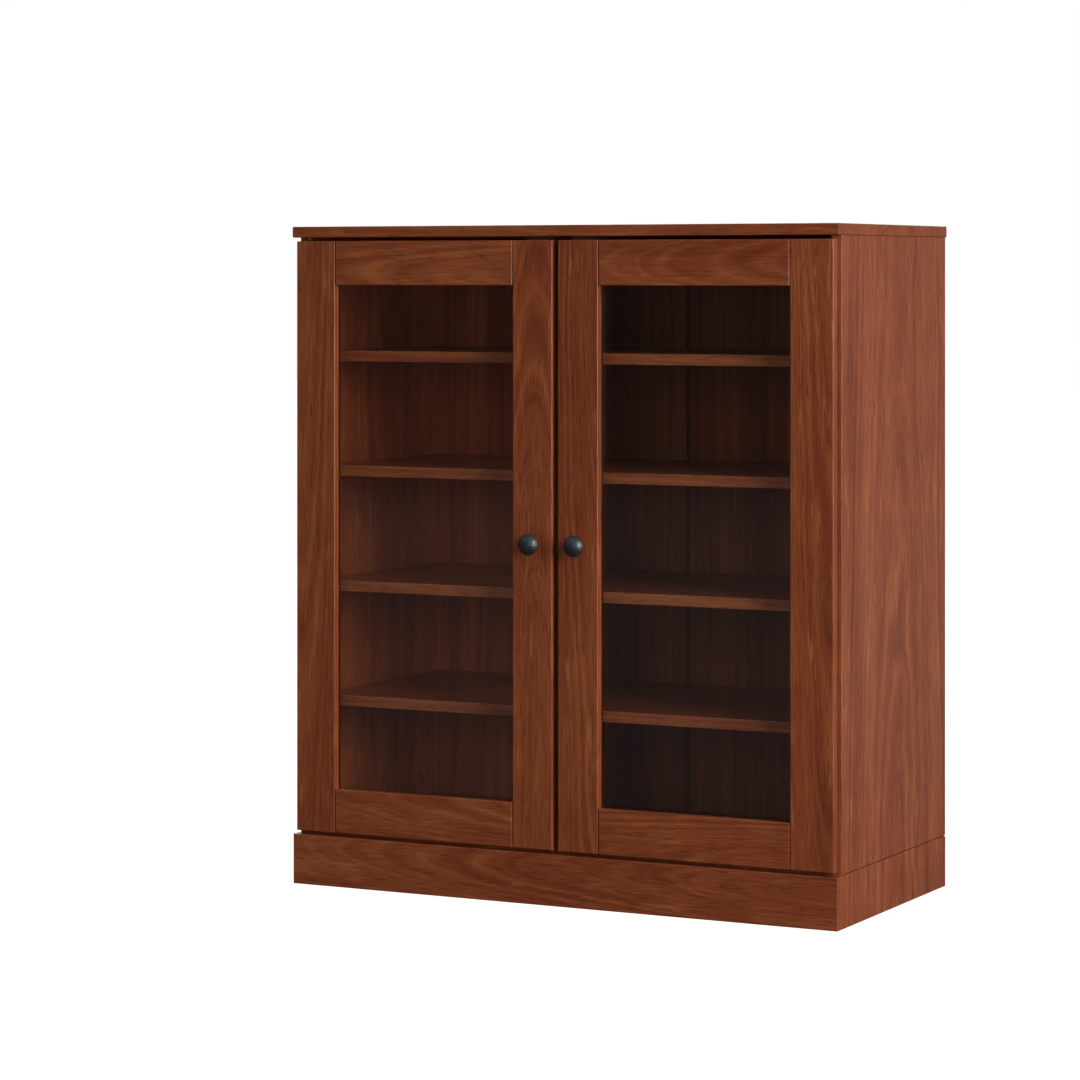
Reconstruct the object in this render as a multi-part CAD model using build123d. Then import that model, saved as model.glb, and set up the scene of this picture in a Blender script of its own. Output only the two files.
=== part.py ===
from build123d import *
import os

# Two-door glazed bookcase of panel construction: a carcass on a plinth, four shelves
# on pins, and two framed glass doors on single-pivot concealed cup hinges.
# Millimetres, +Z up, +X to the right as seen from the front, front towards -Y.
# The origin is on the floor, at the middle of the whole footprint, knobs included.

# ---- Driving dimensions ---------------------------------------------------------
HEIGHT = 900.0             # floor to the top surface
TOP_WIDTH = 806.0
TOP_DEPTH = 388.0
BODY_WIDTH = 802.0         # over the side panels
BOARD = 15.0               # thickness of every carcass board
PLINTH_HEIGHT = 68.0
PLINTH_SETBACK = 2.0       # plinth sides stop short of the back edge
PLINTH_PROUD = 1.0         # plinth sides stand out beyond the side panels
BOTTOM_TOP_Z = 77.0        # upper face of the bottom panel
EASE_TOP = 1.6             # rounding of the top panel's edges
EASE_BOARD = 1.2           # rounding of carcass and shelf edges
EASE_PLINTH = 0.5          # rounding of the plinth's sides along their top
EASE_CORNER = 1.0          # rounding of the plinth's front corners
GROOVE_BEVEL = 1.7         # bevel under a side panel, a fine groove above the plinth

DOOR_THICKNESS = 16.0
DOOR_LOW_Z = 73.3
DOOR_HIGH_Z = 880.0
DOOR_GAP = 8.4             # between the meeting stiles
DOOR_REVEAL = 4.5          # the side panel shows this much beside a door
DOOR_STANDOFF = 1.9        # door back to carcass front
FRAME_WIDTH = 60.0         # hinge stiles and rails
MEETING_WIDTH = 58.8       # meeting stiles
EASE_FRAME = 1.3           # rounding of the frame's front edges
JOINT_GROOVE = 0.9         # width of the groove where a rail meets a stile
JOINT_GROOVE_DEPTH = 3.0
EASE_DOOR_BACK = 3.0       # rounding of the hinge stile's back outer edge
REBATE_WIDTH = 7.0
REBATE_DEPTH = 5.0
GLASS_THICKNESS = 3.0
GLASS_PLAY = 0.5           # glass and beads to the rebate's wall

SHELF_TOPS = (730.0, 572.2, 414.0, 256.3)
SHELF_SETBACK = 44.0       # shelf front behind the door face
SHELF_PLAY = 2.0           # each end to the side panel
PIN_ROWS = (81.0, 306.0)   # pin holes behind the door face
SPARE_PIN_Z = (639.0, 482.5, 323.7)
PIN_RADIUS = 2.5

BACK_THICKNESS = 3.0
BACK_INSET = 7.0           # inner face of the back panel to the rear edge
GROOVE_DEPTH = 5.0
SEAM_X = 18.0              # where the two back panels meet

KNOB_PROJECTION = 22.0
KNOB_RADIUS = 14.1
KNOB_FROM_EDGE = 29.1      # knob centre to the meeting edge
KNOB_Z = 477.5

HINGE_Z = (175.0, 780.0)
PIVOT_FROM_EDGE = 8.0      # pivot to the door's outer edge
PIVOT_FROM_FACE = 6.2      # pivot to the door's front face
CUP_FROM_EDGE = 21.0       # cup centre to the door's outer edge
CUP_RADIUS = 17.5
CUP_DEPTH = 13.0
CUP_WALL = 1.0
CUP_FLOOR = 0.8
CUP_FLANGE = 0.8
PIVOT_PIN_RADIUS = 1.0
PIVOT_PIN_HALF = 10.4      # the pin ends inside the cup's walls
PIVOT_PLAY = 0.05          # running fit of the hinge pin in its knuckle
KNUCKLE_RADIUS = 2.0
ARM_STEEL = 1.6
NOSE_HALF = 4.0            # half the width of the arm's nose
ARM_HALF = 7.8             # half the width of the arm's channel
ARM_WEB_U = 372.5          # inner face of the arm, from the centre plane

CAM_RADIUS = 7.5
CAM_DEPTH = 12.0
CAM_FROM_JOINT = 34.0
CAP_RADIUS = 9.0           # cover cap over a cam
CAP_THICKNESS = 0.6
BOLT_RADIUS = 3.0
BOLT_HOLD = 11.0           # length of a bolt in the next board
DOWEL_RADIUS = 4.0
SNUG = 0.05                # a hole is larger than its fastener by this
CAM_ROWS = (63.0, 333.0)   # behind the door face
DOWEL_ROWS = (43.0, 198.0, 361.0)

# ---- Derived places -------------------------------------------------------------
FRONT = (KNOB_PROJECTION - TOP_DEPTH) / 2      # door faces, top front, plinth front
BACK = FRONT + TOP_DEPTH
TOP_UNDER_Z = HEIGHT - BOARD
OUTER = BODY_WIDTH / 2
INNER = OUTER - BOARD
MID_BOARD = OUTER - BOARD / 2
DOOR_BACK = FRONT + DOOR_THICKNESS
CARCASS_FRONT = DOOR_BACK + DOOR_STANDOFF
BACK_FACE = BACK - BACK_INSET
GROOVE_BACK = BACK_FACE + BACK_THICKNESS + 0.2
BACK_EDGE = INNER + GROOVE_DEPTH - 0.5         # outer edges of the back panels

PLINTH_OUTER = OUTER + PLINTH_PROUD
PLINTH_INNER = PLINTH_OUTER - BOARD

DOOR_OUTER = OUTER - DOOR_REVEAL
DOOR_INNER = DOOR_GAP / 2
LIGHT_OUTER = DOOR_OUTER - FRAME_WIDTH         # the glazed opening
LIGHT_INNER = DOOR_INNER + MEETING_WIDTH
LIGHT_LOW_Z = DOOR_LOW_Z + FRAME_WIDTH
LIGHT_HIGH_Z = DOOR_HIGH_Z - FRAME_WIDTH

PIVOT_U = DOOR_OUTER - PIVOT_FROM_EDGE
PIVOT_Y = FRONT + PIVOT_FROM_FACE
CUP_U = DOOR_OUTER - CUP_FROM_EDGE
KNOB_U = DOOR_INNER + KNOB_FROM_EDGE

LEFT, RIGHT = -1, 1
SIDES = {"left": LEFT, "right": RIGHT}


# ---- Helpers --------------------------------------------------------------------
def block(x0, x1, y0, y1, z0, z1):
    """A rectangular solid between two opposite corners."""
    middle = Pos((x0 + x1) / 2, (y0 + y1) / 2, (z0 + z1) / 2)
    return middle * Box(abs(x1 - x0), abs(y1 - y0), abs(z1 - z0))


def rod(start, direction, radius, length):
    """A round bar that starts at a point and runs along a direction."""
    foot = (Align.CENTER, Align.CENTER, Align.MIN)
    return Plane(origin=start, z_dir=direction) * Cylinder(radius, length, align=foot)


def edges_at(solid, along, **places):
    """Straight edges parallel to an axis, kept where they match the given places."""
    kept = solid.edges().filter_by(along)
    for axis, value in places.items():
        kept = [e for e in kept if abs(getattr(e.center(), axis.upper()) - value) < 0.01]
    return kept


def ease(solid, radius, *picks):
    """Round the edges named by (axis, places) pairs."""
    chosen = []
    for along, places in picks:
        chosen += edges_at(solid, along, **places)
    return fillet(chosen, radius)


def screw(start, direction, length, radius=2.0, head=4.0, grow=0.0, recess=True):
    """Countersunk wood screw; grow widens it into its own pilot hole."""
    foot = (Align.CENTER, Align.CENTER, Align.MIN)
    cone = head - radius
    body = Cone(head + grow, radius + grow, cone, align=foot)
    body += Cylinder(radius + grow, length - radius + grow, align=foot)
    tip = Cone(radius + grow, 0.3, radius, align=foot)
    body += Pos(0, 0, length - radius + grow) * tip
    if recess:
        slot = Box(head, 0.9, 1.2, align=foot)
        body -= slot + Rot(0, 0, 90) * slot
    return Plane(origin=start, z_dir=direction) * body


def group(solids):
    """Several separate solids as one node."""
    return Compound(children=[one for solid in solids for one in solid.solids()])


def cut(solid, tools):
    """The solid with every tool taken out of it."""
    for tool in tools:
        solid -= tool
    return solid


def save(name, shape):
    """Write one node."""
    export_step(shape, f"parts/{name}.step")


# ---- Fasteners of the carcass ---------------------------------------------------
def cam_sets():
    """Cams, their caps and bolts, above at the top panel and below at the plinth."""
    cams, caps, bolts, holes = [], [], [], []
    for side in SIDES.values():
        for row in CAM_ROWS:
            for joint_z, way in ((TOP_UNDER_Z, 1), (PLINTH_HEIGHT, -1)):
                x, y = side * MID_BOARD, FRONT + row
                cam_z = joint_z - way * CAM_FROM_JOINT
                face = (side * INNER, y, cam_z)
                seat = rod(face, (side, 0, 0), CAM_RADIUS + SNUG, CAM_DEPTH + SNUG)
                cam = rod(face, (side, 0, 0), CAM_RADIUS, CAM_DEPTH)
                way_in = rod((x, y, cam_z - way * 4), (0, 0, way), BOLT_RADIUS + 0.8, 14)
                slot = block(face[0] - 1, face[0] + 1, y - 4, y + 4, cam_z - 0.7, cam_z + 0.7)
                cams.append(cam - way_in - slot)
                cap = rod(face, (-side, 0, 0), CAP_RADIUS, CAP_THICKNESS)
                caps.append(fillet(cap.edges().sort_by(Axis.X)[0 if side > 0 else -1], 0.4))
                shank = rod((x, y, cam_z), (0, 0, way), BOLT_RADIUS, CAM_FROM_JOINT + BOLT_HOLD)
                neck = rod((x, y, cam_z + way * 3), (0, 0, way), BOLT_RADIUS + 1, 3.5)
                collar = neck - rod((x, y, cam_z), (0, 0, way), BOLT_RADIUS - 1.2, 10)
                bolts.append(shank - collar)
                bore = rod((x, y, cam_z), (0, 0, way), BOLT_RADIUS + SNUG, CAM_FROM_JOINT)
                hold = rod((x, y, joint_z), (0, 0, way), BOLT_RADIUS + SNUG, BOLT_HOLD + SNUG)
                holes += [seat, bore, hold]
    return cams, caps, bolts, holes


def upright_dowels():
    """Dowels that stand in the ends of the side panels, with their holes."""
    dowels, holes = [], []
    for side in SIDES.values():
        for row in DOWEL_ROWS:
            x, y = side * MID_BOARD, FRONT + row
            for low, length in ((TOP_UNDER_Z - 19, 30), (PLINTH_HEIGHT - 15, 30)):
                dowels.append(rod((x, y, low), (0, 0, 1), DOWEL_RADIUS, length))
                hole = rod((x, y, low - SNUG), (0, 0, 1), DOWEL_RADIUS + SNUG, length + 2 * SNUG)
                holes.append(hole)
    return dowels, holes


PLINTH_BACK_Y = (BACK - 30.0, BACK - 30.0 + BOARD)


def plinth_dowels():
    """Level dowels at the ends of the plinth's back board."""
    dowels, holes = [], []
    for side in SIDES.values():
        for z in (20.0, 42.0):
            start = (side * (PLINTH_INNER - 20), sum(PLINTH_BACK_Y) / 2, z)
            dowels.append(rod(start, (side, 0, 0), DOWEL_RADIUS, 30))
            before = (start[0] - side * SNUG, start[1], z)
            holes.append(rod(before, (side, 0, 0), DOWEL_RADIUS + SNUG, 30 + 2 * SNUG))
    return dowels, holes


CLEAT_SIZE = 18.0
CLEAT_Y = (FRONT + 58.0, PLINTH_BACK_Y[0] - 5.0)
CLEAT_TOP_Z = BOTTOM_TOP_Z - BOARD


def cleat_screws(grow=0.0):
    """Screws through the cleats: level into the plinth, upright into the bottom panel."""
    made = []
    low = CLEAT_TOP_Z - CLEAT_SIZE
    for side in SIDES.values():
        for y in (FRONT + 83, FRONT + 163, FRONT + 293):
            start = (side * (PLINTH_INNER - CLEAT_SIZE), y, low + CLEAT_SIZE / 2)
            made.append(screw(start, (side, 0, 0), 27, grow=grow, recess=grow == 0))
        for y in (FRONT + 113, FRONT + 263):
            start = (side * (PLINTH_INNER - CLEAT_SIZE / 2), y, low)
            made.append(screw(start, (0, 0, 1), 29, grow=grow, recess=grow == 0))
    return made


def back_nails(grow=0.0):
    """Panel pins through the back panels into the bottom panel's rear edge."""
    made = []
    for x in (-340, -200, -60, 100, 220, 340):
        place = (x, BACK_FACE + BACK_THICKNESS + 0.6, BOTTOM_TOP_Z - 6)
        nail = rod(place, (0, -1, 0), 0.8 + grow, 18)
        made.append(nail + rod(place, (0, -1, 0), 2.0 + grow, 0.6))
    return made


# ---- Hinges, fixed side ---------------------------------------------------------
# U is the distance from the centre plane, so one drawing serves both sides.
PLATE_MID_Y = DOOR_BACK + 39.0
ARM_SCREW_Y = DOOR_BACK + 26.0


def hinge_arm(side, z):
    """Cranked arm: knuckle and nose inside the cup, channel over the plate."""
    nose_y = PIVOT_Y - ARM_STEEL / 2
    nose = block(side * ARM_WEB_U, side * PIVOT_U, nose_y, nose_y + ARM_STEEL,
                 z - NOSE_HALF, z + NOSE_HALF)
    leg = block(side * ARM_WEB_U, side * (ARM_WEB_U + ARM_STEEL), nose_y, DOOR_BACK + 14,
                z - NOSE_HALF, z + NOSE_HALF)
    arm = nose + leg
    arm = ease(arm, 1.2, (Axis.Z, {"x": side * ARM_WEB_U, "y": nose_y}))
    arm += rod((side * PIVOT_U, PIVOT_Y, z - NOSE_HALF), (0, 0, 1), KNUCKLE_RADIUS, 2 * NOSE_HALF)
    channel = block(side * ARM_WEB_U, side * (ARM_WEB_U + 11), DOOR_BACK + 11, DOOR_BACK + 54,
                    z - ARM_HALF, z + ARM_HALF)
    channel = ease(channel, 2.0, (Axis.Z, {"x": side * ARM_WEB_U, "y": DOOR_BACK + 54}))
    hollow = block(side * (ARM_WEB_U + ARM_STEEL), side * INNER, DOOR_BACK + 11 - 1,
                   DOOR_BACK + 55, z - ARM_HALF + ARM_STEEL, z + ARM_HALF - ARM_STEEL)
    arm += channel - hollow
    bore = PIVOT_PIN_RADIUS + PIVOT_PLAY
    arm -= rod((side * PIVOT_U, PIVOT_Y, z - 10), (0, 0, 1), bore, 20)
    arm -= rod((side * (ARM_WEB_U - 1), ARM_SCREW_Y, z), (side, 0, 0), 2.1, 4)
    return arm


def hinge_plate(side, z):
    """Cross-shaped plate: two wings on the side panel and a block for the arm."""
    wings = block(side * (INNER - 2), side * INNER, PLATE_MID_Y - 6, PLATE_MID_Y + 6, z - 24, z + 24)
    wings = ease(wings, 3.0, *[(Axis.X, {"y": y, "z": z + dz})
                               for y in (PLATE_MID_Y - 6, PLATE_MID_Y + 6) for dz in (-24, 24)])
    core = block(side * (ARM_WEB_U + ARM_STEEL + 0.1), side * INNER, PLATE_MID_Y - 22,
                 PLATE_MID_Y + 13, z - 6, z + 6)
    plate = wings + core
    plate -= rod((side * ARM_WEB_U, ARM_SCREW_Y, z), (side, 0, 0), 2.0 + SNUG, 11)
    return cut(plate, plate_screws(side, z, SNUG))


def plate_screws(side, z, grow=0.0):
    """The two screws of one hinge plate."""
    places = [(side * (INNER - 2), PLATE_MID_Y, z + dz) for dz in (-16, 16)]
    return [screw(p, (side, 0, 0), 13, grow=grow, recess=grow == 0) for p in places]


def arm_screw(side, z):
    """Pan-head screw that clamps the arm on its plate."""
    start = (side * (ARM_WEB_U - 1.6), ARM_SCREW_Y, z)
    made = rod(start, (side, 0, 0), 2.0, 12)
    head = rod(start, (side, 0, 0), 3.6, 1.6)
    slot = block(start[0] - 0.8, start[0] + 0.8, ARM_SCREW_Y - 4, ARM_SCREW_Y + 4, z - 0.5, z + 0.5)
    return made + head - slot


# ---- Catches --------------------------------------------------------------------
CATCH_HALF = 18.0
CATCH_LOW_Z = TOP_UNDER_Z - 13.0
STRIKE_FACE_Y = DOOR_BACK + 1.0
POLE_Y = STRIKE_FACE_Y + 0.3


def catch_body(side):
    """Plastic housing of a magnetic catch, with an ear at each end."""
    x = side * KNOB_U
    body = block(x - CATCH_HALF, x + CATCH_HALF, POLE_Y + 0.8, POLE_Y + 28, CATCH_LOW_Z, TOP_UNDER_Z)
    body = ease(body, 1.5, *[(Axis.Y, {"x": x + dx, "z": CATCH_LOW_Z})
                             for dx in (-CATCH_HALF, CATCH_HALF)])
    body += block(x - 27, x + 27, POLE_Y + 9, POLE_Y + 21, TOP_UNDER_Z - 2.5, TOP_UNDER_Z)
    body = cut(body, catch_screws(side, SNUG))
    return body - block(x - 14, x + 14, POLE_Y, POLE_Y + 22, CATCH_LOW_Z + 3, CATCH_LOW_Z + 9)


def catch_poles(side):
    """Two steel pole strips with the magnet between them."""
    x = side * KNOB_U
    strips = [block(x - 13.9, x + 13.9, POLE_Y, POLE_Y + 21.9, z, z + 1.4)
              for z in (CATCH_LOW_Z + 3.1, CATCH_LOW_Z + 7.5)]
    magnet = block(x - 13, x + 13, POLE_Y + 0.8, POLE_Y + 21.9, CATCH_LOW_Z + 4.5, CATCH_LOW_Z + 7.5)
    return strips + [magnet]


def catch_screws(side, grow=0.0):
    """Screws through the ears of a catch into the top panel."""
    places = [(side * KNOB_U + dx, POLE_Y + 15, TOP_UNDER_Z - 2.5) for dx in (-22.5, 22.5)]
    return [screw(p, (0, 0, 1), 12, 1.5, 2.8, grow, grow == 0) for p in places]


# ---- Carcass --------------------------------------------------------------------
def top_panel(tools):
    """Top board, edges rounded, grooved below for the back panels."""
    half = TOP_WIDTH / 2
    board = block(-half, half, FRONT, BACK, TOP_UNDER_Z, HEIGHT)
    board = ease(board, EASE_TOP, *[(Axis.X, {"y": FRONT, "z": z}) for z in (TOP_UNDER_Z, HEIGHT)],
                 *[(Axis.Y, {"x": x, "z": z}) for x in (-half, half) for z in (TOP_UNDER_Z, HEIGHT)])
    edge = BACK_EDGE + 0.5
    groove = block(-edge, edge, BACK_FACE, GROOVE_BACK, TOP_UNDER_Z, TOP_UNDER_Z + 4.5)
    return cut(board - groove, tools)


def side_panel(side, tools):
    """Side board from the plinth to the top, drilled for pins and grooved for the back."""
    board = block(side * INNER, side * OUTER, CARCASS_FRONT, BACK, PLINTH_HEIGHT, TOP_UNDER_Z)
    board = chamfer(edges_at(board, Axis.Y, x=side * OUTER, z=PLINTH_HEIGHT), GROOVE_BEVEL)
    board = ease(board, EASE_BOARD, (Axis.Z, {"x": side * OUTER, "y": CARCASS_FRONT}),
                 (Axis.Z, {"x": side * INNER, "y": CARCASS_FRONT}))
    board -= block(side * INNER, side * (INNER + GROOVE_DEPTH), BACK_FACE, GROOVE_BACK,
                   PLINTH_HEIGHT, TOP_UNDER_Z)
    used = [top - BOARD - PIN_RADIUS for top in SHELF_TOPS]
    for z in used + list(SPARE_PIN_Z):
        for row in PIN_ROWS:
            board -= rod((side * INNER, FRONT + row, z), (side, 0, 0), PIN_RADIUS + SNUG, 9)
    return cut(board, tools)


def bottom_panel(tools):
    """Bottom board between the side panels, on the cleats."""
    board = block(-INNER, INNER, CARCASS_FRONT, BACK_FACE, BOTTOM_TOP_Z - BOARD, BOTTOM_TOP_Z)
    board = ease(board, EASE_BOARD, (Axis.X, {"y": CARCASS_FRONT, "z": BOTTOM_TOP_Z}))
    return cut(board, tools)


def back_panel(x0, x1, tools):
    """One thin sheet of the back."""
    sheet = block(x0, x1, BACK_FACE, BACK_FACE + BACK_THICKNESS, PLINTH_HEIGHT + 0.5, TOP_UNDER_Z + 4)
    return cut(sheet, tools)


def joining_strip():
    """H-section strip that holds the two back sheets together."""
    low, high = BOTTOM_TOP_Z, TOP_UNDER_Z
    rear = BACK_FACE + BACK_THICKNESS
    web = block(SEAM_X - 0.5, SEAM_X + 0.5, BACK_FACE - 0.9, rear + 0.9, low, high)
    face = block(SEAM_X - 3, SEAM_X + 3, BACK_FACE - 0.9, BACK_FACE, low, high)
    return web + face + block(SEAM_X - 6, SEAM_X + 6, rear, rear + 0.9, low, high)


def corner_waste(side):
    """What the rounding of a front corner takes off the two mitred plinth boards."""
    x, y = side * (PLINTH_OUTER - EASE_CORNER), FRONT + EASE_CORNER
    corner = block(x, side * (PLINTH_OUTER + 1), y, FRONT - 1, -1, PLINTH_HEIGHT + 1)
    return corner - rod((x, y, -1), (0, 0, 1), EASE_CORNER, PLINTH_HEIGHT + 2)


def plinth_side(side, tools):
    """Plinth board below a side panel, mitred at the front."""
    rear = BACK - PLINTH_SETBACK
    outline = Polyline((side * PLINTH_OUTER, FRONT), (side * PLINTH_OUTER, rear),
                       (side * PLINTH_INNER, rear), (side * PLINTH_INNER, FRONT + BOARD), close=True)
    board = extrude(make_face(outline), PLINTH_HEIGHT)
    board = ease(board, EASE_PLINTH, (Axis.Y, {"x": side * PLINTH_OUTER, "z": PLINTH_HEIGHT}))
    return cut(board - corner_waste(side), tools)


def plinth_front():
    """Plinth board across the front, mitred at both ends, top front edge rounded."""
    outline = Polyline((-PLINTH_OUTER, FRONT), (PLINTH_OUTER, FRONT), (PLINTH_INNER, FRONT + BOARD),
                       (-PLINTH_INNER, FRONT + BOARD), close=True)
    board = extrude(make_face(outline), PLINTH_HEIGHT)
    board = ease(board, EASE_BOARD, (Axis.X, {"y": FRONT, "z": PLINTH_HEIGHT}))
    return cut(board, [corner_waste(side) for side in SIDES.values()])


def plinth_back(tools):
    """Plinth board across the back, under the bottom panel."""
    board = block(-PLINTH_INNER, PLINTH_INNER, *PLINTH_BACK_Y, 0, BOTTOM_TOP_Z - BOARD)
    return cut(board, tools)


def corner_block(side):
    """Three-cornered glue block behind a plinth mitre."""
    outline = Polyline((side * PLINTH_INNER, FRONT + BOARD), (side * (PLINTH_INNER - 38), FRONT + BOARD),
                       (side * PLINTH_INNER, FRONT + BOARD + 38), close=True)
    return Pos(0, 0, 5) * extrude(make_face(outline), 50)


def cleat(side, tools):
    """Square bar along a plinth side that carries the bottom panel."""
    bar = block(side * (PLINTH_INNER - CLEAT_SIZE), side * PLINTH_INNER, *CLEAT_Y,
                CLEAT_TOP_Z - CLEAT_SIZE, CLEAT_TOP_Z)
    return cut(bar, tools)


def shelf(top_z):
    """Loose shelf with a rounded front edge."""
    half = INNER - SHELF_PLAY
    front = FRONT + SHELF_SETBACK
    board = block(-half, half, front, BACK_FACE - 1.5, top_z - BOARD, top_z)
    return ease(board, EASE_BOARD, *[(Axis.X, {"y": front, "z": z}) for z in (top_z - BOARD, top_z)])


def shelf_pin(side, row, top_z):
    """Peg with a collar and a flat lip under the shelf."""
    under = top_z - BOARD
    y = FRONT + row
    z = under - PIN_RADIUS
    pin = rod((side * (INNER - 1), y, z), (side, 0, 0), PIN_RADIUS, 9)
    pin += rod((side * (INNER - 1), y, z), (side, 0, 0), 4.0, 1)
    return pin + block(side * (INNER - 10), side * (INNER - 0.8), y - 5, y + 5, under - 1.6, under)


# ---- Doors ----------------------------------------------------------------------
def frame_dowels(side, grow=0.0):
    """Dowels between rails and stiles."""
    made = []
    for seam in (LIGHT_INNER, LIGHT_OUTER):
        for rail_z in (DOOR_LOW_Z + FRAME_WIDTH / 2, DOOR_HIGH_Z - FRAME_WIDTH / 2):
            for z in (rail_z - 15, rail_z + 15):
                start = (side * (seam - 20 - grow), FRONT + DOOR_THICKNESS / 2, z)
                made.append(rod(start, (side, 0, 0), DOWEL_RADIUS + grow, 40 + 2 * grow))
    return made


def cup_screws(side, z, grow=0.0):
    """Two screws that hold a hinge cup in the stile."""
    places = [(side * (CUP_U - 9.5), DOOR_BACK + CUP_FLANGE, z + dz) for dz in (-22.5, 22.5)]
    return [screw(p, (0, -1, 0), 13, 1.75, 3.4, grow, grow == 0) for p in places]


def hinge_stile(side):
    """Outer stile, full height, bored for the cups, rebated for the glass."""
    stile = block(side * LIGHT_OUTER, side * DOOR_OUTER, FRONT, DOOR_BACK, DOOR_LOW_Z, DOOR_HIGH_Z)
    stile = ease(stile, EASE_FRAME, (Axis.Z, {"x": side * LIGHT_OUTER, "y": FRONT}),
                 (Axis.Z, {"x": side * DOOR_OUTER, "y": FRONT}),
                 (Axis.X, {"y": FRONT, "z": DOOR_LOW_Z}), (Axis.X, {"y": FRONT, "z": DOOR_HIGH_Z}))
    stile = ease(stile, EASE_DOOR_BACK, (Axis.Z, {"x": side * DOOR_OUTER, "y": DOOR_BACK}))
    stile -= glass_rebate(side)
    for z in HINGE_Z:
        seat = (side * CUP_U, DOOR_BACK, z)
        stile -= rod(seat, (0, -1, 0), CUP_RADIUS + SNUG, CUP_DEPTH + SNUG)
        stile = cut(stile, cup_screws(side, z, SNUG))
    return cut(stile, frame_dowels(side, SNUG))


def meeting_stile(side):
    """Inner stile, full height, drilled for the knob and the strike."""
    stile = block(side * DOOR_INNER, side * LIGHT_INNER, FRONT, DOOR_BACK, DOOR_LOW_Z, DOOR_HIGH_Z)
    stile = ease(stile, EASE_FRAME, (Axis.Z, {"x": side * LIGHT_INNER, "y": FRONT}),
                 (Axis.Z, {"x": side * DOOR_INNER, "y": FRONT}),
                 (Axis.X, {"y": FRONT, "z": DOOR_LOW_Z}), (Axis.X, {"y": FRONT, "z": DOOR_HIGH_Z}))
    stile -= glass_rebate(side)
    stile -= rod((side * KNOB_U, DOOR_BACK + 1, KNOB_Z), (0, -1, 0), 2.0 + SNUG, 30)
    stile = cut(stile, [strike_screw(side, SNUG)])
    return cut(stile, frame_dowels(side, SNUG))


def rail(side, low_z):
    """Cross rail between the stiles. Its face stops short of them, which leaves a fine groove."""
    high_z = low_z + FRAME_WIDTH
    ends = [side * (LIGHT_INNER + JOINT_GROOVE), side * (LIGHT_OUTER - JOINT_GROOVE)]
    face = block(*ends, FRONT, DOOR_BACK, low_z, high_z)
    face = ease(face, EASE_FRAME, (Axis.X, {"y": FRONT, "z": low_z}), (Axis.X, {"y": FRONT, "z": high_z}),
                *[(Axis.Z, {"x": end, "y": FRONT}) for end in ends])
    bar = face + block(side * LIGHT_INNER, side * LIGHT_OUTER, FRONT + JOINT_GROOVE_DEPTH, DOOR_BACK,
                       low_z, high_z)
    return cut(bar - glass_rebate(side), frame_dowels(side, SNUG))


def glass_rebate(side):
    """The recess that all four frame members share behind the opening."""
    return block(side * (LIGHT_INNER - REBATE_WIDTH), side * (LIGHT_OUTER + REBATE_WIDTH),
                 DOOR_BACK - REBATE_DEPTH, DOOR_BACK + 1,
                 LIGHT_LOW_Z - REBATE_WIDTH, LIGHT_HIGH_Z + REBATE_WIDTH)


def glass_pane(side):
    """Plain sheet of glass in the rebate."""
    lip = REBATE_WIDTH - GLASS_PLAY
    front = DOOR_BACK - REBATE_DEPTH
    return block(side * (LIGHT_INNER - lip), side * (LIGHT_OUTER + lip), front, front + GLASS_THICKNESS,
                 LIGHT_LOW_Z - lip, LIGHT_HIGH_Z + lip)


def glazing_beads(side):
    """Four flat beads behind the glass: two along, two up between them."""
    lip = REBATE_WIDTH - GLASS_PLAY
    width = lip - 0.3
    u0, u1 = LIGHT_INNER - lip, LIGHT_OUTER + lip
    z0, z1 = LIGHT_LOW_Z - lip, LIGHT_HIGH_Z + lip
    y0, y1 = DOOR_BACK - REBATE_DEPTH + GLASS_THICKNESS, DOOR_BACK
    flat = [block(side * u0, side * u1, y0, y1, z, z + width) for z in (z0, z1 - width)]
    upright = [block(side * u, side * (u + width), y0, y1, z0 + width, z1 - width)
               for u in (u0, u1 - width)]
    return flat + upright


def hinge_cup(side, z):
    """Pressed cup with a flange bar; its walls hold the hinge pin."""
    seat = (side * CUP_U, DOOR_BACK + CUP_FLANGE, z)
    cup = rod(seat, (0, -1, 0), CUP_RADIUS, CUP_DEPTH + CUP_FLANGE)
    bar = block(side * (CUP_U - 18), side * (CUP_U - 1), DOOR_BACK, DOOR_BACK + CUP_FLANGE, z - 28, z + 28)
    cup += ease(bar, 4.0, *[(Axis.Y, {"x": side * (CUP_U - du), "z": z + dz})
                            for du in (18, 1) for dz in (-28, 28)])
    cup -= rod(seat, (0, -1, 0), CUP_RADIUS - CUP_WALL, CUP_DEPTH + CUP_FLANGE - CUP_FLOOR)
    cup -= hinge_pin(side, z)
    return cut(cup, cup_screws(side, z, SNUG))


def hinge_pin(side, z):
    """Upright pivot pin across the cup."""
    foot = (side * PIVOT_U, PIVOT_Y, z - PIVOT_PIN_HALF)
    return rod(foot, (0, 0, 1), PIVOT_PIN_RADIUS, 2 * PIVOT_PIN_HALF)


def knob(side):
    """Mushroom knob turned about its screw: foot, waist, flared underside and dome."""
    bore, bore_depth = 2.0 + SNUG, 11.0
    rim, rim_low, rim_high = KNOB_RADIUS - 0.9, 12.6, 15.2
    with BuildSketch(Plane.XY) as outline:
        with BuildLine():
            Polyline((0, KNOB_PROJECTION), (0, bore_depth), (bore, bore_depth), (bore, 0), (7.6, 0),
                     (7.6, 1.4))
            Bezier((7.6, 1.4), (3.6, 6.5), (8.0, 10.8), (rim, rim_low))
            ThreePointArc((rim, rim_low), (KNOB_RADIUS, 13.9), (rim, rim_high))
            Bezier((rim, rim_high), (11.2, 19.2), (6.6, KNOB_PROJECTION), (0, KNOB_PROJECTION))
        make_face()
    turned = revolve(outline.sketch, Axis.Y)
    return Pos(side * KNOB_U, FRONT, KNOB_Z) * Rot(180, 0, 0) * turned


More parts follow.
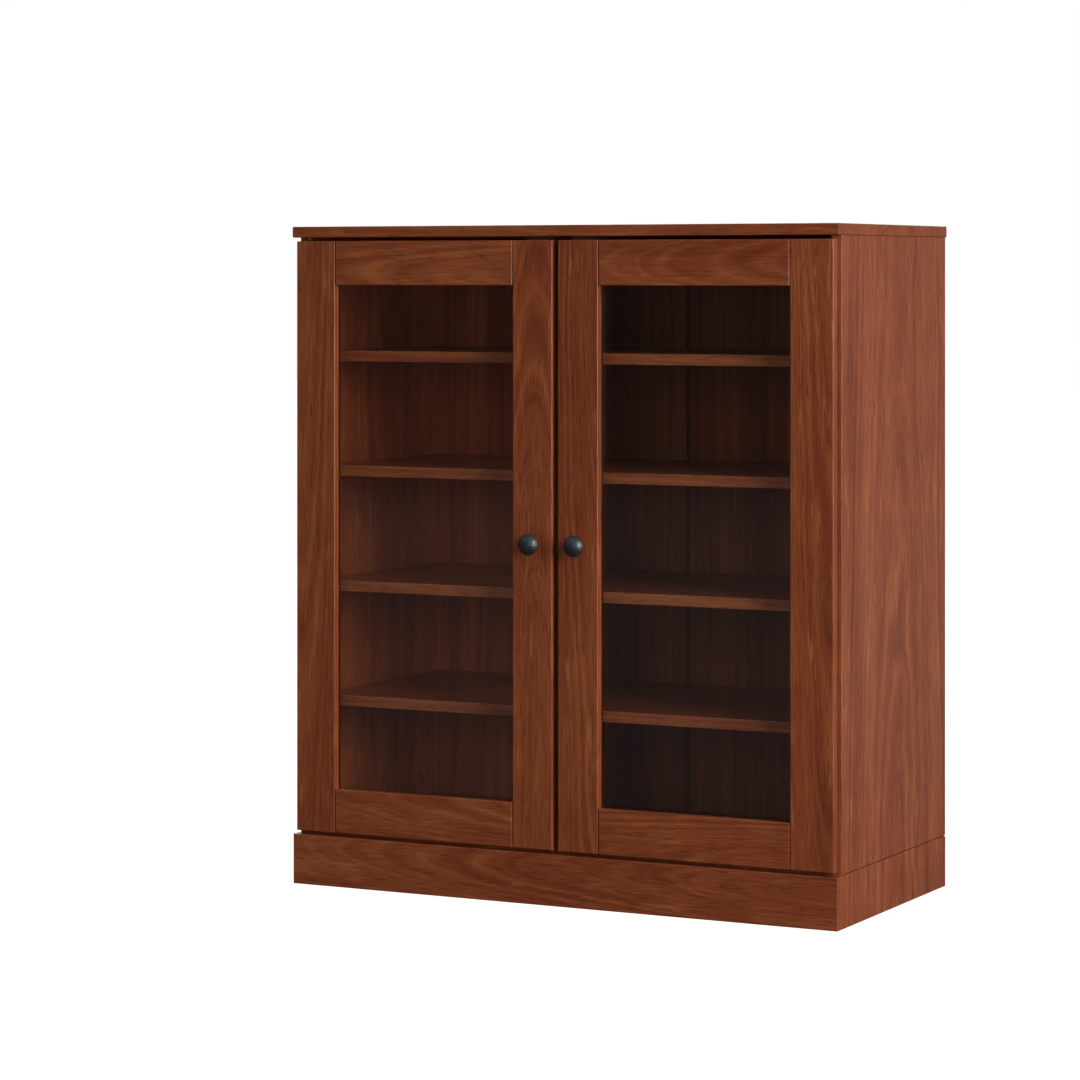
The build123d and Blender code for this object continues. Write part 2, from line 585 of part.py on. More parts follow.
def knob_screw(side):
    """Machine screw from the back of the stile into the knob."""
    start = (side * KNOB_U, DOOR_BACK + 2.2, KNOB_Z)
    head = rod(start, (0, -1, 0), 4.0, 2.2)
    slot = block(start[0] - 3, start[0] + 3, start[1] - 1, start[1] + 1, KNOB_Z - 0.5, KNOB_Z + 0.5)
    return head + rod(start, (0, -1, 0), 2.0, 2.2 + DOOR_THICKNESS + 10) - slot


def strike_plate(side):
    """Thin steel plate that meets the catch."""
    x = side * KNOB_U
    z = CATCH_LOW_Z + 6
    plate = block(x - 15, x + 15, DOOR_BACK, STRIKE_FACE_Y, z - 9, z + 1.5)
    return plate - strike_screw(side, SNUG)


def strike_screw(side, grow=0.0):
    """Screw of the strike plate."""
    place = (side * KNOB_U, STRIKE_FACE_Y, CATCH_LOW_Z + 1.5)
    return screw(place, (0, -1, 0), 12, 1.5, 2.8, grow, grow == 0)


# ---- Build ----------------------------------------------------------------------
def build_carcass():
    cams, caps, bolts, cam_holes = cam_sets()
    dowels, dowel_holes = upright_dowels()
    low_dowels, low_holes = plinth_dowels()
    joint_holes = cam_holes + dowel_holes
    screw_holes = cleat_screws(SNUG)
    catch_holes = catch_screws(LEFT, SNUG) + catch_screws(RIGHT, SNUG)

    save("top_panel", top_panel(joint_holes + catch_holes))
    for name, side in SIDES.items():
        plate_holes = [hole for z in HINGE_Z for hole in plate_screws(side, z, SNUG)]
        save(f"{name}_side_panel", side_panel(side, joint_holes + plate_holes))
        save(f"plinth_{name}", plinth_side(side, joint_holes + low_holes + screw_holes))
        save(f"{name}_cleat", cleat(side, screw_holes))
        save(f"{name}_hinge_arms", group([hinge_arm(side, z) for z in HINGE_Z]))
        save(f"{name}_hinge_plates", group([hinge_plate(side, z) for z in HINGE_Z]))
    save("bottom_panel", bottom_panel(screw_holes + back_nails(SNUG)))
    save("back_panel_left", back_panel(-BACK_EDGE, SEAM_X - 0.6, back_nails(SNUG)))
    save("back_panel_right", back_panel(SEAM_X + 0.6, BACK_EDGE, back_nails(SNUG)))
    save("back_joining_strip", joining_strip())
    save("back_nails", group(back_nails()))
    save("plinth_front", plinth_front())
    save("plinth_back", plinth_back(low_holes))
    save("plinth_corner_blocks", group([corner_block(side) for side in SIDES.values()]))
    for number, top_z in enumerate(SHELF_TOPS, start=1):
        save(f"shelf_{number}", shelf(top_z))
    pins = [shelf_pin(side, row, z) for side in SIDES.values() for row in PIN_ROWS for z in SHELF_TOPS]
    save("shelf_pins", group(pins))
    save("cam_locks", group(cams))
    save("cam_caps", group(caps))
    save("cam_bolts", group(bolts))
    save("panel_dowels", group(dowels + low_dowels))
    save("cleat_screws", group(cleat_screws()))
    both = [(side, z) for side in SIDES.values() for z in HINGE_Z]
    save("hinge_plate_screws", group([one for side, z in both for one in plate_screws(side, z)]))
    save("hinge_arm_screws", group([arm_screw(side, z) for side, z in both]))
    save("catch_bodies", group([catch_body(side) for side in SIDES.values()]))
    save("catch_magnets", group([one for side in SIDES.values() for one in catch_poles(side)]))
    save("catch_screws", group([one for side in SIDES.values() for one in catch_screws(side)]))


def build_door(name, side):
    save(f"{name}_hinge_stile", hinge_stile(side))
    save(f"{name}_meeting_stile", meeting_stile(side))
    save(f"{name}_top_rail", rail(side, LIGHT_HIGH_Z))
    save(f"{name}_bottom_rail", rail(side, DOOR_LOW_Z))
    save(f"{name}_frame_dowels", group(frame_dowels(side)))
    save(f"{name}_glass", glass_pane(side))
    save(f"{name}_glazing_beads", group(glazing_beads(side)))
    save(f"{name}_hinge_cups", group([hinge_cup(side, z) for z in HINGE_Z]))
    save(f"{name}_hinge_pins", group([hinge_pin(side, z) for z in HINGE_Z]))
    save(f"{name}_cup_screws", group([one for z in HINGE_Z for one in cup_screws(side, z)]))
    save(f"{name}_knob", knob(side))
    save(f"{name}_knob_screw", knob_screw(side))
    save(f"{name}_strike", group([strike_plate(side), strike_screw(side)]))


os.makedirs("parts", exist_ok=True)
build_carcass()
for door_name, door_side in SIDES.items():
    build_door(f"{door_name}_door", door_side)
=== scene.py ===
# %% [markdown]
# # A cherry bookcase with two glass doors
# The bookcase arrives as a set of accurate parts in metres: boards, doors, hinges, knobs and screws, each
# already in its place and riding on the body that carries it. They could be drawn again in Blender, but
# then they would drift from the working drawing, so they are kept as they are. What is left to make is
# how they look: stained cherry with its own grain on every board, clear glass, dark metal knobs and
# bright fittings.

# %% Load the parts
import math

import bpy
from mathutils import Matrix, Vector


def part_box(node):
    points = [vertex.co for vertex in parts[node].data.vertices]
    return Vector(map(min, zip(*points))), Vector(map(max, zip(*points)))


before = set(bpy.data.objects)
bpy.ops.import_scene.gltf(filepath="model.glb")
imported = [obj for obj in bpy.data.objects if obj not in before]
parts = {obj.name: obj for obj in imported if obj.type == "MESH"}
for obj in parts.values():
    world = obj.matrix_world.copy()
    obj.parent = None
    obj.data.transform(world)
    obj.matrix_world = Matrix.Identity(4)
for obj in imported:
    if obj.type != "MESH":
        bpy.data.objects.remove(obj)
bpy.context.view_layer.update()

# %% [markdown]
# ## Numbers that become nodes
# A finish is mostly arithmetic on patterns: a streak times a strength, one minus a mask. That could be
# wired by hand, one Math node at a time, and it soon becomes unreadable. A small class wraps the output
# of a node and answers to plus, minus, times and divide, so the same arithmetic reads as a line of
# Python.


# %% A number that varies over a surface
class Reading:
    """One output of a node, used as a number that changes from place to place."""

    def __init__(self, outlet):
        self.outlet = outlet

    def combine(self, operation, *values):
        tree = self.outlet.id_data
        step = tree.nodes.new("ShaderNodeMath")
        step.operation = operation
        for inlet, value in zip(step.inputs, values):
            join(tree, value, inlet)
        return Reading(step.outputs[0])

    def __add__(self, other):
        return self.combine("ADD", self, other)

    def __radd__(self, other):
        return self.combine("ADD", other, self)

    def __sub__(self, other):
        return self.combine("SUBTRACT", self, other)

    def __rsub__(self, other):
        return self.combine("SUBTRACT", other, self)

    def __mul__(self, other):
        return self.combine("MULTIPLY", self, other)

    def __pow__(self, other):
        return self.combine("POWER", self, other)


def join(tree, value, inlet):
    """Feeds an inlet from a reading, or sets it to a plain value."""
    if isinstance(value, Reading):
        tree.links.new(value.outlet, inlet)
    else:
        inlet.default_value = value


# %% [markdown]
# Every other node comes from one method, which takes the kind of node, its settings and what goes into
# its sockets. The settings come first, because some of them change which sockets a node has. The same
# class mixes the room later on, since a world is made of nodes too.


# %% A finish and its nodes
class Finish:
    """A material, or another thing made of nodes, while it is being mixed."""

    def __init__(self, name, store=bpy.data.materials):
        self.data = store.new(name)
        self.data.use_nodes = True
        self.tree = self.data.node_tree
        self.tree.nodes.clear()

    def node(self, kind, settings=None, sockets=None, outlet=0):
        made = self.tree.nodes.new("ShaderNode" + kind)
        for name, setting in (settings or {}).items():
            if name == "stops":
                set_stops(made.color_ramp, setting)
            else:
                setattr(made, name, setting)
        for name, value in (sockets or {}).items():
            join(self.tree, value, made.inputs[name])
        return Reading(made.outputs[outlet]) if made.outputs else made

    def place(self):
        """The point of the surface, as three readings in metres."""
        spot = self.node("TexCoord", outlet="Object")
        return [self.node("SeparateXYZ", sockets={0: spot}, outlet=axis) for axis in "XYZ"]

    def cloud(self, x, y, z, detail=2.0, roughness=0.5):
        """Soft noise with a grain of about one unit of the numbers that it is given."""
        spot = self.node("CombineXYZ", sockets={0: x, 1: y, 2: z})
        sockets = {"Vector": spot, "Scale": 1.0, "Detail": detail, "Roughness": roughness}
        return self.node("TexNoise", sockets=sockets)

    def line(self, w, detail, roughness):
        """Soft noise that changes along one number only."""
        sockets = {"W": w, "Scale": 1.0, "Detail": detail, "Roughness": roughness}
        return self.node("TexNoise", {"noise_dimensions": "1D"}, sockets)

    def step(self, reading, low, high):
        """A mask that rises smoothly from 0 to 1 as the reading goes from low to high."""
        sockets = {"Value": reading, "From Min": low, "From Max": high}
        return self.node("MapRange", {"interpolation_type": "SMOOTHSTEP"}, sockets)

    def blend(self, mask, first, second):
        """The first colour where the mask is 0 and the second where it is 1."""
        return self.node("Mix", {"data_type": "RGBA"}, {0: mask, 6: first, 7: second}, 2)

    def ramp(self, reading, stops):
        return self.node("ValToRGB", {"stops": stops}, {0: reading})

    def relief(self, height, strength, distance):
        """A surface normal disturbed by a height in metres times the distance."""
        return self.node("Bump", sockets={"Strength": strength, "Distance": distance, "Height": height})

    def surface(self, **sockets):
        """Ends the finish with the standard surface shader."""
        named = {name.replace("_", " "): value for name, value in sockets.items()}
        shader = self.node("BsdfPrincipled", sockets=named)
        self.node("OutputMaterial", sockets={"Surface": shader})
        return self.data


def set_stops(ramp, stops):
    """Puts (position, colour) stops on a colour ramp."""
    while len(ramp.elements) < len(stops):
        ramp.elements.new(1.0)
    for element, (position, colour) in zip(ramp.elements, stops):
        element.position = position
        element.color = colour


def linear(red, green, blue):
    """A colour given as three screen values from 0 to 255, as the linear light that shaders work in."""
    light = []
    for value in (red, green, blue):
        share = value / 255
        light.append(share / 12.92 if share <= 0.04045 else ((share + 0.055) / 1.055) ** 2.4)
    return (*light, 1.0)


def dress(material, *names):
    """Puts one material on the named parts."""
    for name in names:
        for place in parts[name].material_slots:
            place.material = material


print("the helpers are ready")

# %% [markdown]
# ## Stained cherry
# The boards are cherry, stained red-brown and sealed with a satin lacquer. A picture of veneer could be
# stretched over them, but it would repeat from board to board and smear over the edges. Here the wood is
# solid: growth rings lie round a wandering heart line, and each board cuts through them at its own place.
# On top lie broad soft bands of colour, fine fibres, short dark pores and a few golden flecks. Every
# layer is long in the direction of the grain and short across it. The lacquer is a weak clear coat over a
# satin surface, which the pores break a little.

# %% Cherry colours and lacquer
CHERRY_DEEP = linear(124, 56, 29)
CHERRY_RED = linear(150, 73, 40)
CHERRY_MID = linear(168, 88, 49)
CHERRY_LIGHT = linear(190, 110, 64)
CHERRY_GOLD = linear(214, 144, 84)
CHERRY_PORE = linear(88, 38, 20)
TONES = [(0.34, CHERRY_DEEP), (0.45, CHERRY_RED), (0.54, CHERRY_MID), (0.66, CHERRY_LIGHT)]
LACQUER_IOR = 1.45
print(len(TONES), "tones of cherry, from deep to light")


# %% How a board is cut from the tree
def rings(finish, u, v, w, heart, lean):
    """The distance from the heart line of the tree, which wanders a little and leans away, and the two
    places across the grain that everything else in the wood follows."""
    sway = finish.cloud(u * 5.0, v * 5.0, w * 1.9, 2.0) - 0.5
    bend = finish.cloud(u * 24.0 + 9.0, v * 24.0, w * 8.0, 1.0) - 0.5
    side = u + sway * 0.026 + bend * 0.0045
    depth = v + sway * 0.020 + bend * 0.0045
    off_side = side - heart[0]
    off_depth = depth + w * lean - heart[1]
    return (off_side * off_side + off_depth * off_depth) ** 0.5, side, depth


# %% The cherry finish
# Painted light: the depth, softness and lift of the paler strip on the shelves' front edges.
LIT_EDGE_DEPTH = 0.0008
LIT_EDGE_BLUR = 0.0004
PAINTED_LIGHT_LIFT = 0.085


def cherry(name, axes, start, heart, lean, front=None):
    """Stained cherry for one board. The axes are given as across, through and along. The start moves the
    board to its own piece of the tree, and the heart is where the middle of the tree lies, across and
    through. A board whose front is given, as a depth, gets painted light there: a paler strip on its front
    edge that stands in for the light falling on it."""
    finish = Finish(name)
    spot = dict(zip("xyz", finish.place()))
    u, v, w = [spot[axis] + offset for axis, offset in zip(axes, start)]
    heart = [place + offset for place, offset in zip(heart, start)]
    ring, side, depth = rings(finish, u, v, spot[axes[2]], heart, lean)
    growth = finish.line(ring * 260.0, 2.5, 0.6)
    hair = finish.cloud(side * 460.0, depth * 460.0, w * 20.0, 2.5, 0.7)
    band = finish.cloud(side * 21.0 + 3.0, depth * 21.0, w * 1.3, 1.0)
    mottle = finish.cloud(u * 34.0, v * 34.0 + 5.0, w * 12.0, 2.0)
    tone = growth * 0.28 + hair * 0.28 + band * 0.28 + mottle * 0.16
    # Painted light: the front edge is made paler, standing in for the light that falls on it.
    if front is not None:
        lit_edge_back = front + LIT_EDGE_DEPTH
        behind_lit_edge = finish.step(spot["y"], lit_edge_back, lit_edge_back + LIT_EDGE_BLUR)
        tone = tone + (1.0 - behind_lit_edge) * PAINTED_LIGHT_LIFT
    wood = finish.ramp(tone, TONES)
    fleck = finish.cloud(side * 230.0, depth * 230.0 + 7.0, w * 17.0, 1.0)
    golden = finish.step(fleck, 0.60, 0.76) * finish.step(mottle, 0.44, 0.60)
    wood = finish.blend(golden * 0.36, wood, CHERRY_GOLD)
    streak = finish.cloud(side * 700.0, depth * 700.0 + 3.0, w * 40.0, 1.0)
    pore = finish.step(streak, 0.56, 0.72)
    wood = finish.blend(pore * 0.55, wood, CHERRY_PORE)
    sheen = finish.cloud(u * 9.0, v * 9.0, w * 5.0, 2.0)
    return finish.surface(
        Base_Color=wood,
        Roughness=0.27 + sheen * 0.08 + pore * 0.12,
        IOR=LACQUER_IOR,
        Coat_Weight=0.25,
        Coat_Roughness=0.16,
        Normal=finish.relief(hair * 0.4 - pore, 0.10, 0.0003),
    )


# The paler band is painted light on the shelves' front edges.
print("a paler band", LIT_EDGE_DEPTH * 1000, "mm thick goes on some front edges")

# %% [markdown]
# Each board gets its own cut: the grain runs along stiles, sides and the back, and across in rails,
# shelves, top, bottom and the plinth's front. The plinth's sides are cut from the same run of wood as the
# side panels above them, so their grain carries on through the groove. A board could be cut dead parallel
# to the heart line, but its rings would then run as straight stripes. Here every heart line leans a
# little, so that the rings come up through the face in long arches. The shelves' front edges carry painted
# light: a paler strip that stands in for the light falling on them.

# %% Finish every board
# For each board: its axes across, through and along, its start, its heart and its lean.
CUTS = {
    "top_panel": ("yzx", (0.31, 0.10, 1.40), (0.03, 0.79), 0.04),
    "left_side_panel": ("yxz", (2.10, 0.72, 3.30), (0.05, -0.18), 0.02),
    "right_side_panel": ("yxz", (4.40, 1.35, 5.20), (0.03, 0.10), 0.02),
    "bottom_panel": ("yzx", (1.20, 2.40, 2.70), (0.02, -0.04), 0.03),
    "plinth_front": ("zyx", (3.15, 0.55, 6.10), (0.05, -0.14), 0.08),
    "plinth_back": ("zyx", (0.85, 1.90, 7.30), (0.01, 0.08), 0.04),
    "shelf_1": ("yzx", (5.10, 0.35, 4.20), (0.04, 0.62), 0.03),
    "shelf_2": ("yzx", (6.30, 1.45, 5.50), (-0.06, 0.46), 0.02),
    "shelf_3": ("yzx", (7.70, 2.55, 6.90), (0.09, 0.33), 0.03),
    "shelf_4": ("yzx", (8.20, 3.15, 8.10), (0.00, 0.15), 0.02),
    "left_door_hinge_stile": ("xyz", (1.15, 3.35, 2.25), (-0.39, -0.12), 0.03),
    "left_door_meeting_stile": ("xyz", (2.45, 4.15, 4.75), (-0.03, -0.17), 0.09),
    "right_door_hinge_stile": ("xyz", (3.65, 5.25, 1.85), (0.40, -0.11), 0.04),
    "right_door_meeting_stile": ("xyz", (4.35, 6.05, 0.25), (0.07, -0.13), 0.05),
    "left_door_top_rail": ("zyx", (5.35, 7.05, 3.45), (0.83, -0.15), 0.05),
    "left_door_bottom_rail": ("zyx", (6.75, 8.25, 5.95), (0.13, -0.14), 0.07),
    "right_door_top_rail": ("zyx", (7.15, 0.95, 7.65), (0.85, -0.10), 0.10),
    "right_door_bottom_rail": ("zyx", (8.55, 2.05, 8.85), (0.08, -0.14), 0.06),
}
for board, (axes, start, heart, lean) in CUTS.items():
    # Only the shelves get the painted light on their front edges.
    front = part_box(board)[0].y if board.startswith("shelf_") else None
    dress(cherry("cherry_" + board, axes, start, heart, lean, front), board)
for side in ("left", "right"):
    dress(parts[side + "_side_panel"].material_slots[0].material, "plinth_" + side)
print(len(CUTS), "cuts of cherry")

# %% [markdown]
# ## The back
# The back is a thin sheet. Its inner face carries the same cherry, printed softer and with little figure,
# and its outer face is bare pressed fibre. One material can do both: a mask that switches at the outer
# face mixes the fibre colour over the wood.

# %% Back sheets
FIBRE_DARK = linear(96, 66, 44)
FIBRE_PALE = linear(128, 92, 62)
FIBRE_STARTS_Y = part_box("back_panel_left")[1].y - 0.0004


def back_sheet(name, start):
    """Cherry inside and fibre outside. The start moves the sheet to its own piece of the pattern."""
    finish = Finish(name)
    x, y, z = finish.place()
    u = x + start
    sway = finish.cloud(u * 6.0, y, z * 1.5, 2.0) - 0.5
    line = u + sway * 0.05
    growth = finish.cloud(line * 130.0, y, z * 2.5, 3.0, 0.6)
    band = finish.cloud(line * 20.0, y + 4.0, z * 0.9, 2.0)
    tone = growth * 0.45 + band * 0.55
    wood = finish.ramp(tone, TONES)
    speck = finish.cloud(x * 900.0, y * 900.0, z * 900.0, 2.0)
    cloudy = finish.cloud(x * 30.0, y * 30.0, z * 30.0, 3.0)
    fibre = finish.blend(speck * 0.6 + cloudy * 0.4, FIBRE_DARK, FIBRE_PALE)
    outer = finish.step(y, FIBRE_STARTS_Y, FIBRE_STARTS_Y + 0.0002)
    return finish.surface(
        Base_Color=finish.blend(outer, wood, fibre),
        Roughness=0.42 + outer * 0.35,
        IOR=LACQUER_IOR,
        Normal=finish.relief(speck * outer, 0.2, 0.0004),
    )


dress(back_sheet("back_sheet_left", 1.3), "back_panel_left")
dress(back_sheet("back_sheet_right", 4.6), "back_panel_right")
print("back sheets: cherry inside, fibre outside")

# %% [markdown]
# ## Bare softwood
# Dowels, cleats and glue blocks are bare pine. Stained wood would be wrong here, because nobody stains
# what is hidden. The layers are those of the cherry with fewer of them: pale rings and fine fibres.

# %% Pine
PINE_PALE = linear(219, 188, 142)
PINE_RING = linear(188, 142, 92)


def pine(name, across, through, along):
    """Bare pine, whose grain runs along the last of the three axes."""
    finish = Finish(name)
    axes = dict(zip("xyz", finish.place()))
    u, v, w = axes[across], axes[through], axes[along]
    sway = finish.cloud(u * 20.0, v * 20.0, w * 3.0, 2.0) - 0.5
    ring = finish.cloud((u + sway * 0.01) * 260.0, v * 260.0, w * 4.0, 1.0)
    fibre = finish.cloud(u * 1500.0, v * 1500.0, w * 20.0, 2.0)
    tone = finish.step(ring, 0.40, 0.66) * 0.7 + fibre * 0.3
    return finish.surface(
        Base_Color=finish.blend(tone, PINE_PALE, PINE_RING),
        Roughness=0.62 + fibre * 0.2,
        Normal=finish.relief(fibre, 0.2, 0.0003),
    )


dress(pine("pine_upright", "x", "y", "z"), "plinth_corner_blocks")
dress(pine("pine_deep", "x", "z", "y"), "left_cleat", "right_cleat")
dress(pine("pine_wide", "y", "z", "x"), "panel_dowels", "left_door_frame_dowels", "right_door_frame_dowels")
print("pine on cleats, blocks and dowels")

# %% [markdown]
# ## Glass
# A pane is clear, and only shows itself by what it mirrors: little from the front, much at a glancing
# angle. A refracting shader would be truer for a lens, but it keeps lamps from shining through a door,
# and a flat pane bends nothing that matters. So a see-through shader is mixed with a mirror, and the
# share of the mirror follows the angle of view by the usual fifth-power rule. A breath of roughness
# changes over the pane.


# %% Panes
def pane_glass():
    """A see-through shader mixed with a mirror."""
    finish = Finish("clear_glass")
    x, y, z = finish.place()
    glance = finish.node("LayerWeight", sockets={"Blend": 0.5}, outlet="Facing")
    mirror_share = 0.035 + glance**5.0 * 0.9
    haze = finish.cloud(x * 14.0, y, z * 14.0, 3.0)
    mirror = finish.node(
        "BsdfAnisotropic",
        sockets={"Color": (1.0, 1.0, 1.0, 1.0), "Roughness": 0.02 + haze * 0.03},
    )
    clear = finish.node("BsdfTransparent", sockets={"Color": (0.98, 0.985, 0.98, 1.0)})
    glass = finish.node("MixShader", sockets={0: mirror_share, 1: clear, 2: mirror})
    finish.node("OutputMaterial", sockets={"Surface": glass})
    return finish.data


dress(pane_glass(), "left_door_glass", "right_door_glass")
print("two clear panes")

# %% [markdown]
# ## Knobs
# The knobs are cast, blackened and lightly hammered. Dents could be modelled, but at half a millimetre
# across they only show in how light breaks on the dome, and a bump from soft cells gives that. The
# blackening is thin and uneven, so paler metal shows through it in soft patches.

# %% Blackened metal
BLACKENED_DARK = linear(76, 81, 84)
BLACKENED_PALE = linear(106, 112, 115)


def blackened():
    """Dark cast metal with shallow dents."""
    finish = Finish("blackened_metal")
    x, y, z = finish.place()
    spot = finish.node("CombineXYZ", sockets={0: x, 1: y, 2: z})
    sockets = {"Vector": spot, "Scale": 420.0, "Smoothness": 0.6, "Randomness": 1.0}
    dents = finish.node("TexVoronoi", {"feature": "SMOOTH_F1"}, sockets, "Distance")
    grit = finish.cloud(x * 3500.0, y * 3500.0, z * 3500.0, 2.0)
    stain = finish.cloud(x * 160.0, y * 160.0, z * 160.0, 3.0)
    return finish.surface(
        Base_Color=finish.blend(stain * 0.6 + grit * 0.4, BLACKENED_DARK, BLACKENED_PALE),
        Metallic=0.80 + stain * 0.15,
        Roughness=0.34 + stain * 0.12 + grit * 0.05,
        Normal=finish.relief(dents + grit * 0.08, 0.45, 0.0006),
    )


dress(blackened(), "left_door_knob", "right_door_knob")
print("two blackened knobs")

# %% [markdown]
# ## Fittings
# Hinges, screws, pins and strikes are nickel-plated steel: bright, with a faint haze and hair-fine
# scratches. The cams are die-cast zinc, duller and with a cast skin. Beads, catches and the strip between
# the back sheets are brown plastic, which is never quite even: the mould leaves a fine grain on it. The
# caps over the cams are the same plastic in the colour of the wood.


# %% Plated steel
def plated():
    """Nickel plate with a faint haze and scratches."""
    finish = Finish("nickel_plate")
    x, y, z = finish.place()
    haze = finish.cloud(x * 90.0, y * 90.0, z * 90.0, 3.0)
    scratch = finish.cloud(x * 2600.0, y * 260.0, z * 260.0, 2.0)
    return finish.surface(
        Base_Color=finish.blend(haze, linear(178, 176, 170), linear(206, 204, 198)),
        Metallic=1.0,
        Roughness=0.22 + haze * 0.12 + scratch * 0.10,
        Normal=finish.relief(scratch, 0.06, 0.0002),
    )


FITTINGS = [name for name in parts if "screw" in name or "strike" in name or "magnet" in name]
FITTINGS += [name for name in parts if "hinge_" in name and "stile" not in name and name not in FITTINGS]
FITTINGS += ["shelf_pins", "cam_bolts", "back_nails"]
dress(plated(), *FITTINGS)
print(len(FITTINGS), "parts in plated steel")


# %% Die-cast zinc
def zinc():
    """Dull zinc with a cast skin."""
    finish = Finish("cast_zinc")
    x, y, z = finish.place()
    skin = finish.cloud(x * 1100.0, y * 1100.0, z * 1100.0, 3.0)
    cloudy = finish.cloud(x * 120.0, y * 120.0, z * 120.0, 2.0)
    return finish.surface(
        Base_Color=finish.blend(cloudy, linear(148, 149, 150), linear(180, 181, 182)),
        Metallic=0.9,
        Roughness=0.42 + skin * 0.18,
        Normal=finish.relief(skin, 0.2, 0.0002),
    )


dress(zinc(), "cam_locks")
print("cams in zinc")


# %% Brown plastic
def plastic(name, dark, pale, base_roughness):
    """Moulded plastic between two close colours."""
    finish = Finish(name)
    x, y, z = finish.place()
    grain = finish.cloud(x * 2200.0, y * 2200.0, z * 2200.0, 2.0)
    cloudy = finish.cloud(x * 60.0, y * 60.0, z * 60.0, 2.0)
    return finish.surface(
        Base_Color=finish.blend(cloudy * 0.7 + grain * 0.3, dark, pale),
        Roughness=base_roughness + grain * 0.15,
        Normal=finish.relief(grain, 0.15, 0.0002),
    )


dress(
    plastic("bead_plastic", linear(46, 30, 22), linear(62, 41, 30), 0.45),
    "left_door_glazing_beads",
    "right_door_glazing_beads",
)
dress(
    plastic("brown_plastic", linear(84, 48, 30), linear(104, 62, 40), 0.35),
    "catch_bodies",
    "back_joining_strip",
)
dress(plastic("cap_plastic", linear(138, 66, 38), linear(158, 80, 46), 0.35), "cam_caps")
print("beads, catches, strip and caps in plastic")

# %% [markdown]
# ## Light
# The bookcase stands in a studio with one large soft light to the right and a little in front, which
# lights the side about twice as much as the doors and draws a bright line down every arris that faces it.
# A ring of lamps would be more even, but then the doors and the side would be the same tone. A weak light
# in front fills the doors, and another behind on the left keeps the back readable.


# %% Soft lights
AIM_AT = (0.0, 0.0, 0.45)


def soft_light(name, place, size, glow):
    """A square lamp that faces the middle of the bookcase. Its glow is the light of each of its points."""
    lamp_data = bpy.data.lights.new(name, "AREA")
    lamp_data.size = size
    lamp_data.energy = glow * math.pi * size * size
    lamp = bpy.data.objects.new(name, lamp_data)
    bpy.context.scene.collection.objects.link(lamp)
    towards = [end - begin for begin, end in zip(place, AIM_AT)]
    turn = math.atan2(towards[0], -towards[1])
    level = math.hypot(towards[0], towards[1])
    tilt = math.atan2(level, -towards[2])
    lamp.location = place
    lamp.rotation_euler = (tilt, 0.0, turn + math.pi)
    print(name, "at", place, "with", round(lamp_data.energy), "W")


soft_light("key_light", (4.0, -1.78, 1.35), 2.6, 6.3)
soft_light("front_light", (1.2, -5.0, 1.1), 2.0, 1.2)
soft_light("back_light", (-2.8, 3.4, 2.6), 2.4, 3.4)

# %% [markdown]
# The room is dim and not even. An evenly lit room would be simpler, but it would put a grey veil over the
# panes. Its ceiling and a strip of its ground are pale, its front wall is almost black at eye height, and
# the walls on the right and behind are brighter. The panes mirror the low part of the room: the pale
# strip in their lower half, and the dark wall in their upper half. The side panel mirrors the rear wall,
# which gives it a soft sheen. Where the room is looked at, it is plain white. One node tells the two
# apart: it is 1 for a ray that comes straight from the eye.

# %% Room
BASE_GLOW = 0.038
GROUND_GLOW = 0.060
CEILING_GLOW = 0.25
RIGHT_GLOW = 0.12
REAR_GLOW = 0.10
room = Finish("room", bpy.data.worlds)
bpy.context.scene.world = room.data


def rise(reading, low, high):
    """Goes evenly from 0 to 1 as the reading goes from low to high."""
    return room.node("MapRange", sockets={"Value": reading, "From Min": low, "From Max": high})


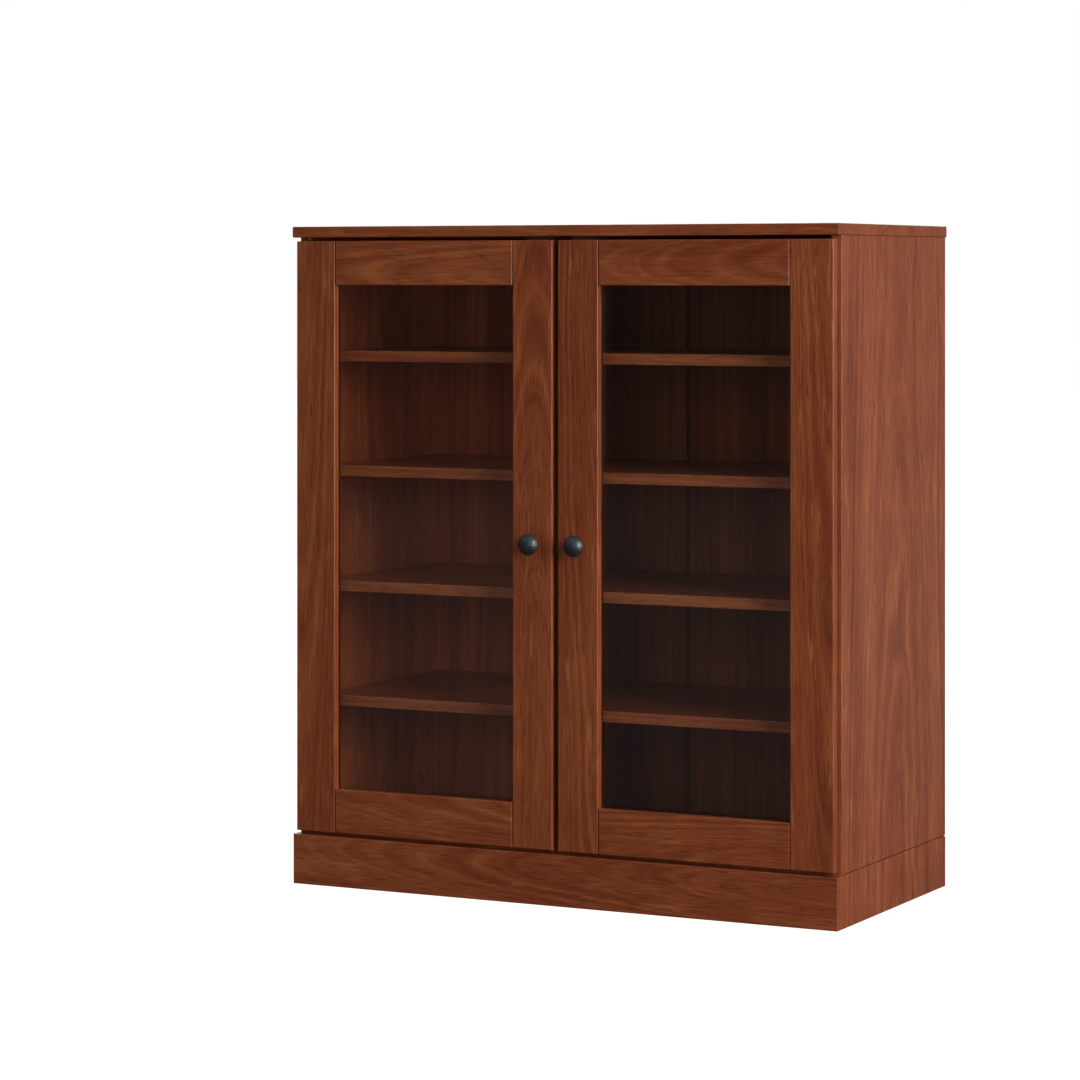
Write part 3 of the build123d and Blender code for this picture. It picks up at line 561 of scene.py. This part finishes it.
aim = room.node("TexCoord", outlet="Generated")
aim_x, aim_y, aim_z = [room.node("SeparateXYZ", sockets={0: aim}, outlet=axis) for axis in "XYZ"]
above_feet = rise(aim_z, -0.165, -0.140)
ground = above_feet * (1.0 - rise(aim_z, -0.064, -0.052))
ceiling = rise(aim_z, 0.12, 0.55)
right_wall = rise(aim_x, 0.45, 0.95) * rise(aim_z, -0.05, 0.10)
rear_wall = rise(aim_y, -0.10, 0.30) * above_feet
walls = right_wall * RIGHT_GLOW + rear_wall * REAR_GLOW
glow = BASE_GLOW + ground * GROUND_GLOW + ceiling * CEILING_GLOW + walls
dim = room.node("Background", sockets={"Color": (0.97, 0.98, 1.0, 1.0), "Strength": glow})
white = room.node("Background", sockets={"Color": (1.0, 1.0, 1.0, 1.0), "Strength": 1.0})
from_eye = room.node("LightPath", outlet="Is Camera Ray")
seen = room.node("MixShader", sockets={0: from_eye, 1: dim, 2: white})
room.node("OutputWorld", sockets={"Surface": seen})
print("the room has", len(room.tree.nodes), "nodes")

# %% [markdown]
# The floor is a large pale sheet. It only has to carry a soft shadow, so it glows a little by itself and
# is left out of the light that bounces, which keeps the doors from being lit from below.

# %% Floor
bpy.ops.mesh.primitive_plane_add(size=40.0, location=(0.0, 0.0, 0.0))
floor = bpy.context.active_object
floor.name = "floor"
floor.visible_diffuse = False
floor.visible_glossy = False
floor_finish = Finish("pale_floor")
floor.data.materials.append(
    floor_finish.surface(
        Base_Color=(0.40, 0.40, 0.40, 1.0),
        Roughness=0.9,
        Emission_Color=(1.0, 1.0, 1.0, 1.0),
        Emission_Strength=0.96,
    )
)
print("a floor", list(floor.dimensions)[:2], "m wide and deep")

# %% [markdown]
# ## Camera
# The bookcase is seen from its front right, from far off and from a little below the height of its top.
# Tilting the camera down would make its uprights lean, so the camera looks level, and the frame is shifted
# down instead, as with a view camera.

# %% Set up the camera
EYE = (2.14788, -4.42672, 0.83385)
TURN = math.radians(27.07)
camera_data = bpy.data.cameras.new("camera")
camera_data.sensor_width = 36.0
camera_data.lens = 120.07
camera_data.shift_x = -0.0007
camera_data.shift_y = -0.2454
camera_data.clip_end = 100.0
camera = bpy.data.objects.new("camera", camera_data)
camera.location = EYE
camera.rotation_euler = (math.pi / 2, 0.0, TURN)
bpy.context.scene.collection.objects.link(camera)
bpy.context.scene.camera = camera
bpy.context.scene.view_settings.view_transform = "Standard"
print("a", round(camera_data.lens), "mm lens at", EYE)
